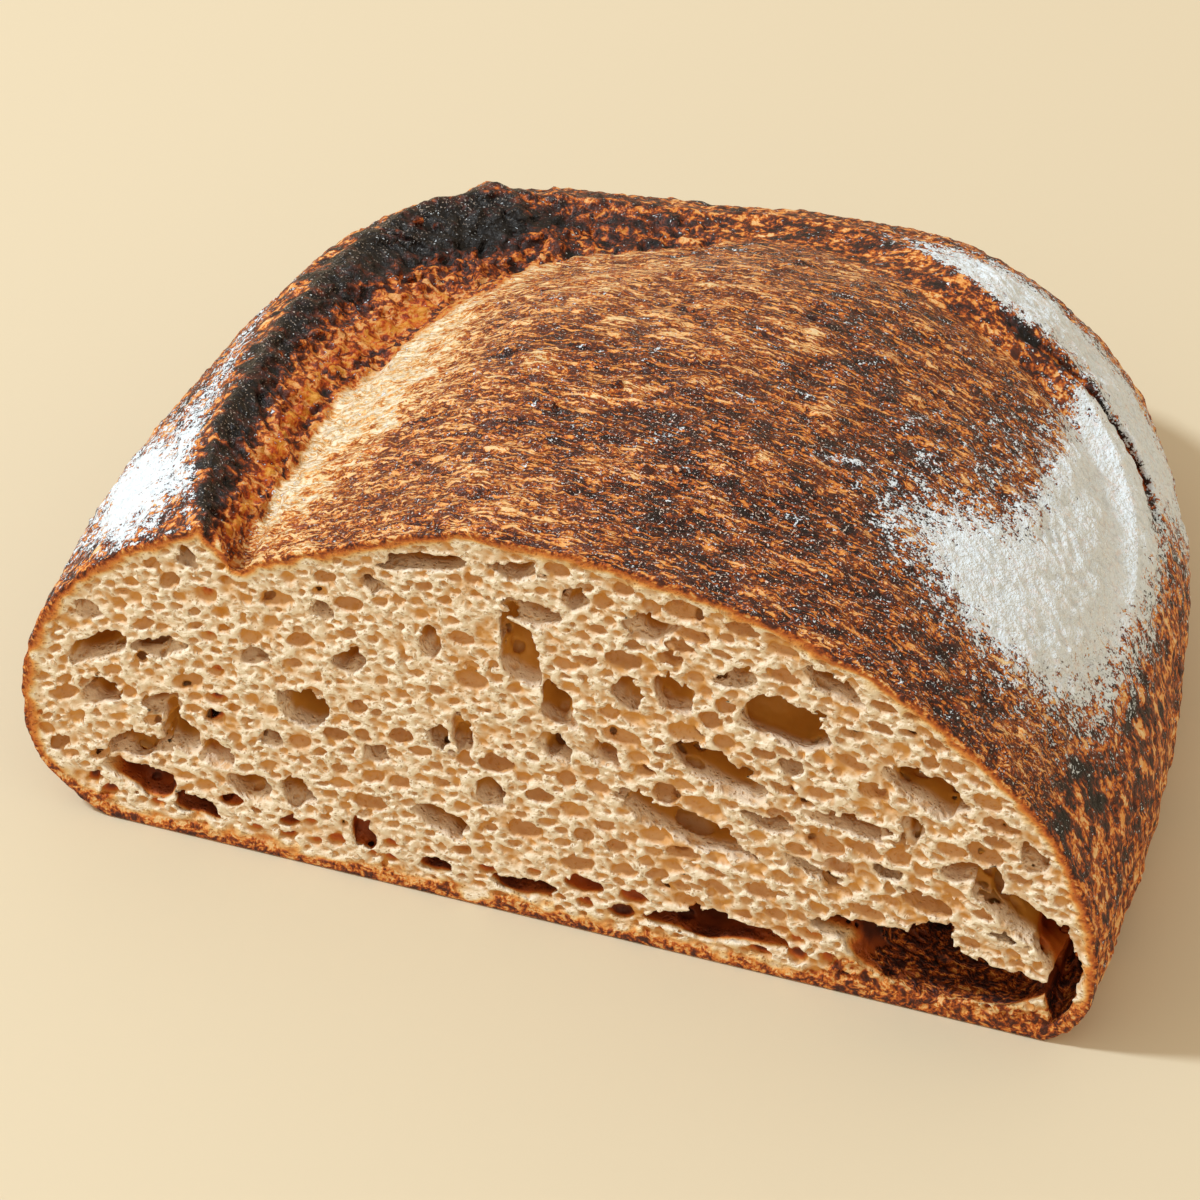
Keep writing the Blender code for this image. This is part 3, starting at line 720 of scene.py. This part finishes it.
# painted shade: caves and floors low on the cut are crust brown and darkened, lighter where they face up, as if lit;
# the far right pocket is darkened less
cave_crust_and_shade = (0.85 - 0.2 * turned_up + 0.06 * patchy) * (1 - 0.45 * pocket)
floor_crust_and_shade = (0.78 - 0.14 * turned_up + 0.06 * patchy) * floor_crust
rim_heat_and_shade = np.maximum(rim_heat_and_shade, np.maximum(cave_crust_and_shade * cave, floor_crust_and_shade))
heat_and_shade_all = open_crumb * rim_heat_and_shade + (1 - open_crumb) * crust_heat_and_shade
in_large = smooth((1.0 - front.read(large_holes, points)) / 0.8)
# painted shade: pore walls turn amber the further they lie behind the cut, and floors that face up stay lighter, as if
# lit
small_pore_shade = 0.95 * smooth((behind - 0.2) / 0.7) * (1 - 0.2 * turned_up)
large_pore_shade = 0.3 * smooth((behind - 0.3) / 0.5) + 0.7 * smooth((behind - 0.5 - 2.4 * turned_up) / 2.0)
hollow = open_crumb * (in_large * large_pore_shade + (1 - in_large) * small_pore_shade)
# on the ear wall the same amber is partly the ochre of torn crumb that baked in the open and partly painted shade
hollow = np.maximum(hollow, burnt * smooth((zones.across - 0.25) / 0.3) * (1 - on_cut))
rim_crust = smooth((np.interp(high_up, (6, 14), (0.7, 0.35)) * rim_deep - under_skin) / 0.8)
soft_crumb = open_crumb * (1 - 0.85 * rim_crust)

# %% Flour where the dough lay in its basket
floured = 1.1 * patch(points, 70, 80, 19, 7.5, 105) + 1.25 * patch(points, 74, 52, 27, 10, 88)
floured += 1.0 * patch(points, 62, 33, 15, 10, 160) + 0.3 * patch(points, 66, 50, 36, 26, 90)
floured = floured * (1 - 0.85 * smooth((zones.level - 0.93) / 0.05))
outer_flour = 1.25 * patch(points, 50, 109, 22, 9, 0) + 1.0 * patch(points, 74, 98, 14, 8, -50)
outer_flour += 1.1 * patch(points, -76, 17, 18, 7.5, 110) + 0.42 * patch(points, -84, 30, 30, 14, 80)
outer_flour += 0.25 * smooth((zones.station - 95) / 30) * smooth((165 - zones.station) / 20)
floured = floured * smooth((97 - behind) / 3) + outer_flour * smooth((zones.level - zones.lip) / 0.03) * zones.above
floured += 0.45 * hump((zones.across + 0.95) / 0.3) * zones.ear * (zones.station < 60)
# across, behind, half length, turn
STREAKS = (
    (8, 30, 7, 52), (2, 52, 6, 75), (14, 60, 5, 20), (30, 52, 8, 8), (44, 60, 6, 60), (36, 40, 6, 30), (20, 44, 6, -30),
)
for x, b, long, turn in STREAKS:
    floured += 0.42 * patch(points, x, b, long, 0.9, turn) * zones.bloom
floured += 0.05 * cloud + 0.06 * patchy + 0.05 * fleck
flour = np.clip(floured, 0, 1.4) * (1 - open_crumb) * (1 - burnt) * (1 - in_crack)
# gloss lowers the roughness and also places the painted glints of the crust
gloss = zones.bloom * (0.5 + 0.45 * patch(points, 26, 18, 34, 28) + 0.08 * patchy)
gloss = np.clip(gloss * (1 - pale) + 0.4 * zones.ear * hump((zones.across + 0.1) / 0.4), 0, 1) * (1 - open_crumb)
print("floured share", round(float((flour > 0.5).mean()), 3), "seconds", round(time.perf_counter() - began, 1))

# %% [markdown]
# ## Pieces
# One mesh of this size is awkward, so it is parted into a few pieces that meet exactly. Every
# point keeps the normal that it had in the whole, so no join shows.

# %% Part the surface and build the meshes
middle = points[faces].mean(axis=1)
three_middle = points[triangles].mean(axis=1)
face_crumb = open_crumb[faces].mean(axis=1) > 0.5
metres = (points + (0, CUT_Y, 0)) * 0.001
LOOKS = {"baked": heat_and_shade_all, "flour": flour, "open_crumb": soft_crumb, "hollow": hollow, "gloss": gloss}
LOOKS["bloom"] = zones.bloom * (1 - burnt)


def bread_piece(name, quads_in, triangles_in):
    """A mesh of these faces with the stored looks and normals."""
    used = np.unique(np.concatenate([quads_in.ravel(), triangles_in.ravel()]))
    new = np.zeros(len(points), dtype=np.int64)
    new[used] = np.arange(len(used))
    mesh = bpy.data.meshes.new(name)
    loops = np.concatenate([new[quads_in].ravel(), new[triangles_in].ravel()]).astype(np.int32)
    sizes = np.concatenate([np.full(len(quads_in), 4), np.full(len(triangles_in), 3)]).astype(np.int32)
    starts = np.concatenate([[0], np.cumsum(sizes)[:-1]]).astype(np.int32)
    mesh.vertices.add(len(used))
    mesh.vertices.foreach_set("co", metres[used].astype(np.float32).ravel())
    mesh.loops.add(len(loops))
    mesh.loops.foreach_set("vertex_index", loops)
    mesh.polygons.add(len(sizes))
    mesh.polygons.foreach_set("loop_start", starts)
    mesh.update(calc_edges=True)
    for look, values in LOOKS.items():
        layer = mesh.attributes.new(look, "FLOAT", "POINT")
        layer.data.foreach_set("value", values[used].astype(np.float32))
    mesh.shade_smooth()
    mesh.normals_split_custom_set_from_vertices(slope[used].astype(np.float32))
    piece = bpy.data.objects.new(name, mesh)
    bpy.context.collection.objects.link(piece)
    return piece


NAMES = ("crumb_left", "crumb_middle", "crumb_right", "crumb_end")
NAMES += ("crust_left", "crust_crown", "crust_right", "rear_left", "rear_middle", "rear_right")


def piece_of(middle):
    """Crust pieces by place: three beside the cut and three behind them."""
    return 4 + np.digitize(middle[:, 0], (-30, 30)) + np.where(middle[:, 1] > SEAM, 3, 0)


part_number = np.where(face_crumb, np.digitize(middle[:, 0], (-40, 12, 50)), piece_of(middle))
three_number = piece_of(three_middle)
pieces = [bread_piece(name, faces[part_number == n], triangles[three_number == n]) for n, name in enumerate(NAMES)]
print({piece.name: len(piece.data.polygons) * 2 for piece in pieces})
print("seconds", round(time.perf_counter() - began, 1))

# %% [markdown]
# ## Shader sums written as sums
# A finish is mostly arithmetic on masks. The small class below wraps a socket, so that `1 - mask * 0.5`
# adds the Math nodes by itself, and one method makes every other kind of node.

# %% A socket that can be added and multiplied


class Mask:
    def __init__(self, recipe, socket):
        self.recipe, self.socket = recipe, socket

    def math(self, operation, *others):
        return self.recipe.node("ShaderNodeMath", {"operation": operation}, dict(enumerate((self, *others))))

    def __add__(self, other):
        return self.math("ADD", other)

    def __sub__(self, other):
        return self.math("SUBTRACT", other)

    def __mul__(self, other):
        return self.math("MULTIPLY", other)

    def __rsub__(self, other):
        return (self * -1).math("ADD", other)

    __radd__, __rmul__ = __add__, __mul__

    def between(self, low, high):
        """0 below low, 1 above high, smooth between."""
        inputs = {"Value": self, "From Min": low, "From Max": high}
        return self.recipe.node("ShaderNodeMapRange", {"interpolation_type": "SMOOTHSTEP"}, inputs, "Result")

    def also(self, output):
        """Another output of the same node."""
        return Mask(self.recipe, self.socket.node.outputs[output])


class Recipe:
    """One material and its nodes."""

    def __init__(self, name):
        self.material = bpy.data.materials.new(name)
        self.material.use_nodes = True
        self.tree = self.material.node_tree
        self.shader = self.tree.nodes["Principled BSDF"]
        self.place = Mask(self, self.tree.nodes.new("ShaderNodeTexCoord").outputs["Object"])

    def feed(self, socket, value):
        if isinstance(value, Mask):
            self.tree.links.new(value.socket, socket)
        else:
            socket.default_value = value

    def node(self, kind, settings, inputs, output=0):
        made = self.tree.nodes.new(kind)
        for key, value in settings.items():
            if key == "stops":
                ramp = made.color_ramp
                while len(ramp.elements) < len(value):
                    ramp.elements.new(0.5)
                for element, (position, colour) in zip(ramp.elements, value):
                    element.position, element.color = position, colour
            else:
                setattr(made, key, value)
        for key, value in inputs.items():
            self.feed(made.inputs[key], value)
        return Mask(self, made.outputs[output])

    def stored(self, name):
        return self.node("ShaderNodeAttribute", {"attribute_name": name}, {}, "Fac")

    def grain(self, stretch, detail=2.0, rough=0.55):
        """Noise about 0.5; stretch is how many waves fit in a metre along each axis."""
        where = self.node("ShaderNodeVectorMath", {"operation": "MULTIPLY"}, {0: self.place, 1: stretch})
        return self.node("ShaderNodeTexNoise", {}, {"Vector": where, "Scale": 1.0, "Detail": detail, "Roughness": rough}, "Fac")

    def swayed(self, amount, stretch):
        """The place, shifted by slow noise, so that what follows it wanders."""
        where = self.node("ShaderNodeVectorMath", {"operation": "MULTIPLY"}, {0: self.place, 1: stretch})
        cloud = self.node("ShaderNodeTexNoise", {}, {"Vector": where, "Scale": 1.0, "Detail": 1.0}, "Color")
        centred = self.node("ShaderNodeVectorMath", {"operation": "SUBTRACT"}, {0: cloud, 1: (0.5, 0.5, 0.5)})
        moved = self.node("ShaderNodeVectorMath", {"operation": "SCALE"}, {0: centred, "Scale": amount})
        return self.node("ShaderNodeVectorMath", {"operation": "ADD"}, {0: self.place, 1: moved})

    def blend(self, share, first, second):
        return self.node("ShaderNodeMix", {"data_type": "RGBA"}, {"Factor": share, "A": first, "B": second}, "Result")


def paint(red, green, blue):
    """A colour as a screen shows it, 0 to 255, turned into the light it stands for."""
    return tuple(((v / 255 + 0.055) / 1.055) ** 2.4 if v > 10 else v / 255 / 12.92 for v in (red, green, blue)) + (1.0,)


print("a cream crumb is", [round(v, 3) for v in paint(238, 214, 170)])

# %% [markdown]
# ## The finish of the bread
# Crust and crumb share one heat ramp, because the brown rim passes smoothly from one to the other on the
# cut. Heat turns the dough from cream through gold and orange-brown to mahogany and black, so one ramp
# holds those colours in that order and the stored number, which also carries painted shade, picks the place on it.
# Flour lies on top.

# %% Colours by heat
HEAT = (
    (0.0, paint(243, 234, 216)), (0.12, paint(230, 202, 152)), (0.27, paint(220, 150, 72)), (0.42, paint(190, 98, 34)),
    (0.56, paint(140, 65, 24)), (0.7, paint(92, 41, 23)), (0.85, paint(56, 27, 24)), (1.0, paint(14, 11, 12)),
)


def browned(bread, heat):
    """The colour of dough after this much heat."""
    return bread.node("ShaderNodeValToRGB", {"stops": HEAT}, {"Fac": heat}, "Color")


def with_painted_shade(bread, share, colour, shade_colour):
    """The colour multiplied by a painted shade colour, as far as the share says."""
    product = {"Factor": 1.0, "A": colour, "B": bread.blend(share, (1, 1, 1, 1), shade_colour)}
    return bread.node("ShaderNodeMix", {"data_type": "RGBA", "blend_type": "MULTIPLY"}, product, "Result")


def finish_with(bread, colour, roughness, height):
    """Feeds the shader of the bread; height is in shares of 1.3 mm."""
    bump = bread.node("ShaderNodeBump", {}, {"Strength": 0.8, "Distance": 0.0013, "Height": height}, "Normal")
    for socket, value in (("Base Color", colour), ("Roughness", roughness), ("Normal", bump)):
        bread.feed(bread.shader.inputs[socket], value)
    bread.shader.inputs["Specular IOR Level"].default_value = 0.32
    return bread.material


# painted shade: the amber that pores and the ear wall are multiplied by
SHADE_AMBER = paint(214, 158, 70)
print("colours by heat", len(HEAT))

# %% [markdown]
# ## The crust
# Stretched noise draws the strands of the torn bloom and, turned upright, the streaks of the flanks. The
# same strands lift the surface a little, so light catches them. Flour is a crust of its own on top: grainy
# noise gives it a ragged edge, and rounded cells make it look like packed powder that has cracked.

# %% Finish of the crust


def crust_finish(name):
    bread = Recipe(name)
    baked, flour, gloss = bread.stored("baked"), bread.stored("flour"), bread.stored("gloss")
    crumb, hollow, bloom = bread.stored("open_crumb"), bread.stored("hollow"), bread.stored("bloom")
    straight = bread.place
    crumbly = bread.swayed(0.0022, (380, 520, 450))
    bread.place = crumbly
    hair = bread.grain((150, 1500, 560), 3, 0.65)
    fine = bread.grain((420, 2600, 1300), 2, 0.6)
    upright = bread.grain((760, 760, 260), 2, 0.65)
    bread.place = straight
    speck = bread.grain((1500, 1500, 1500), 2, 0.6)
    mottle = bread.grain((380, 620, 500), 2, 0.65)
    dust = bread.grain((2600, 2600, 2600), 1, 0.6)
    clump = bread.grain((650, 650, 650), 1, 0.6)
    crust = 1 - crumb
    crease = (1 - (hair - 0.5).math("ABSOLUTE").between(0.0, 0.045)) * bloom
    across = {"Factor": bloom, "A": upright, "B": hair * 0.55 + fine * 0.45}
    strand = bread.node("ShaderNodeMix", {"data_type": "FLOAT"}, across, "Result")
    lively = crust * (baked.between(0.0, 0.4) * 0.7 + 0.3) * (1 - baked.between(0.72, 0.98) * 0.75)
    varied = (strand - 0.5) * 3.4 + (mottle - 0.5) * 1.0 + (speck - 0.5) * 1.6 + crease * 0.32
    heat = baked + lively * varied * (bloom * 0.3 + 0.7)
    heat = heat.math("MAXIMUM", baked * 0.44).math("MINIMUM", baked * 0.72 + 0.38)
    raw = 1 - baked.between(0.2, 0.55) * 0.85
    # painted shade: amber in the bubbles and on the ear wall, weaker where the crust is well browned
    shaded = with_painted_shade(bread, hollow * raw, browned(bread, heat), SHADE_AMBER)
    # painted highlight: tiny near-white glints where the crust is glossy
    painted_glint = dust.between(0.6, 0.65) * gloss * speck.between(0.48, 0.52)
    shaded = bread.blend(painted_glint * 0.85, shaded, paint(255, 236, 222))
    cell = bread.node("ShaderNodeTexVoronoi", {}, {"Vector": crumbly, "Scale": 900.0}, "Distance")
    grains = (dust - 0.5) * 2.0 + (speck - 0.5) * 1.5 + (clump - 0.5) * 1.7
    lying = (flour * 1.2 - 0.1 + grains).between(0.48, 0.8) * (1 - cell.between(0.45, 0.8) * 0.16)
    # the flour's blue-white is partly its own colour and partly painted cool skylight
    colour = bread.blend(lying * 0.95, shaded, paint(226, 240, 253))
    rough = 0.56 - gloss * 0.3 + (speck - 0.5) * 0.5 + lying * 0.4
    height = (crust - lying * 0.85) * (strand * 0.6 + mottle * 0.3 + speck * 0.3 - crease * 0.12)
    return finish_with(bread, colour, rough, height + lying * (dust * 0.35 + clump * 0.3 - cell * 0.35))


# %% [markdown]
# ## The crumb
# The smallest pores are too small for the mesh, so two sizes of rounded cells make them, as painted
# shade and a dent. Bubble walls are set dough that light passes through; their amber with depth is painted shade and
# glow.

# %% Finish of the crumb


def crumb_finish(name):
    bread = Recipe(name)
    baked, crumb, hollow = bread.stored("baked"), bread.stored("open_crumb"), bread.stored("hollow")
    straight = bread.place
    crumbly = bread.swayed(0.003, (300, 380, 340))
    bread.place = crumbly
    torn = bread.grain((760, 900, 620), 2, 0.65)
    bread.place = straight
    speck = bread.grain((1500, 1500, 1500), 2, 0.6)
    crust = 1 - crumb
    lively = crust * (baked.between(0.0, 0.4) * 0.7 + 0.3)
    heat = baked + lively * ((torn - 0.5) * 3.0 + (speck - 0.5) * 1.4) * 0.8
    heat = heat.math("MAXIMUM", baked * 0.44).math("MINIMUM", baked * 0.72 + 0.38)
    pit = 0.0
    for size in (540, 1200):
        cells = bread.node("ShaderNodeTexVoronoi", {}, {"Vector": crumbly, "Scale": float(size)}, "Distance")
        edge = cells.also("Color") * 0.75
        pit = (1 - cells.between(edge * 0.2, edge + 0.02)).math("MAXIMUM", pit)
    pit = pit * crumb * (1 - hollow)
    raw = 1 - baked.between(0.2, 0.55) * 0.85
    # painted shade: amber deep in the bubbles and in the small cells of the pores
    colour = with_painted_shade(bread, hollow * raw + pit * 0.6, browned(bread, heat + crumb * (speck - 0.5) * 0.06), SHADE_AMBER)
    rough = 0.58 + (speck - 0.5) * 0.5
    height = crust * (torn * 0.9 + speck * 0.3) - pit * 0.3 + crumb * (1 - hollow) * speck * 0.35
    return finish_with(bread, colour, rough, height)


FINISHES = {"crust": crust_finish("baked_crust"), "crumb": crumb_finish("open_crumb")}
for piece in pieces:
    slot = "crumb" if piece.name.startswith("crumb") else "crust"
    piece.data.materials.append(FINISHES[slot])
    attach(piece, "root")
    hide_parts("loaf")
print("finishes", list(FINISHES), "on", len(pieces), "pieces")

# %% [markdown]
# ## Table, light and camera
# A plain pale table, one large lamp from the upper left that still throws a clear shadow to the right, and
# a bright room round it. The camera looks down at the cut from a little to the right.

# %% Set the table
table_mesh = bpy.data.meshes.new("table")
table_mesh.from_pydata([(-3, -3, 0), (3, -3, 0), (3, 3, 0), (-3, 3, 0)], [], [(0, 1, 2, 3)])
table = bpy.data.objects.new("table", table_mesh)
bpy.context.collection.objects.link(table)
table_finish = Recipe("pale_table")
table_finish.shader.inputs["Base Color"].default_value = paint(210, 199, 175)
table_finish.shader.inputs["Roughness"].default_value = 0.8
table_finish.shader.inputs["Specular IOR Level"].default_value = 0.1
table_mesh.materials.append(table_finish.material)

# %% Hang the lamp and aim the camera
YAW, HIGH_ANGLE = math.radians(18.1), math.radians(44)
back = Vector((math.sin(YAW) * math.cos(HIGH_ANGLE), -math.cos(YAW) * math.cos(HIGH_ANGLE), math.sin(HIGH_ANGLE)))
right = Vector((math.cos(YAW), math.sin(YAW), 0))
up = back.cross(right)
aim = Vector((0, -0.0387, 0.0388)) - right * 0.0033 + up * 0.00115
camera = bpy.data.objects.new("camera", bpy.data.cameras.new("camera"))
camera.data.lens, camera.data.clip_start = 167.7, 0.01
turned = Matrix((right, up, back)).transposed().to_4x4()
turned.translation = aim + back * 0.92
camera.matrix_world = turned
bpy.context.collection.objects.link(camera)
bpy.context.scene.camera = camera


def lamp(name, towards, distance, size, watts, colour):
    light = bpy.data.lights.new(name, "AREA")
    light.shape, light.size, light.energy, light.color = "DISK", size, watts, colour
    hung = bpy.data.objects.new(name, light)
    way = Vector(towards).normalized()
    hung.matrix_world = Matrix.Translation(way * distance) @ way.to_track_quat("Z", "Y").to_matrix().to_4x4()
    bpy.context.collection.objects.link(hung)
    return hung


lamp("key_lamp", (-0.95, -0.31, 1.3), 1.8, 0.2, 24, (0.85, 0.94, 1.0))
world = bpy.data.worlds.new("room")
bpy.context.scene.world = world
world.use_nodes = True
sky, join = world.node_tree.nodes, world.node_tree.links.new
direction = sky.new("ShaderNodeSeparateXYZ")
join(sky.new("ShaderNodeTexCoord").outputs["Generated"], direction.inputs[0])
fade = sky.new("ShaderNodeMix")
fade.data_type = "RGBA"
fade.inputs["A"].default_value, fade.inputs["B"].default_value = (1.0, 0.7, 0.38, 1), (0.95, 0.87, 0.74, 1)
join(direction.outputs["Z"], fade.inputs["Factor"])
join(fade.outputs["Result"], sky["Background"].inputs["Color"])
sky["Background"].inputs["Strength"].default_value = 0.88
bpy.context.scene.view_settings.view_transform = "Standard"
print("camera", round((camera.location - aim).length, 3), "m away")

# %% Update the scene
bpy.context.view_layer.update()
print("seconds in all", round(time.perf_counter() - began, 1))
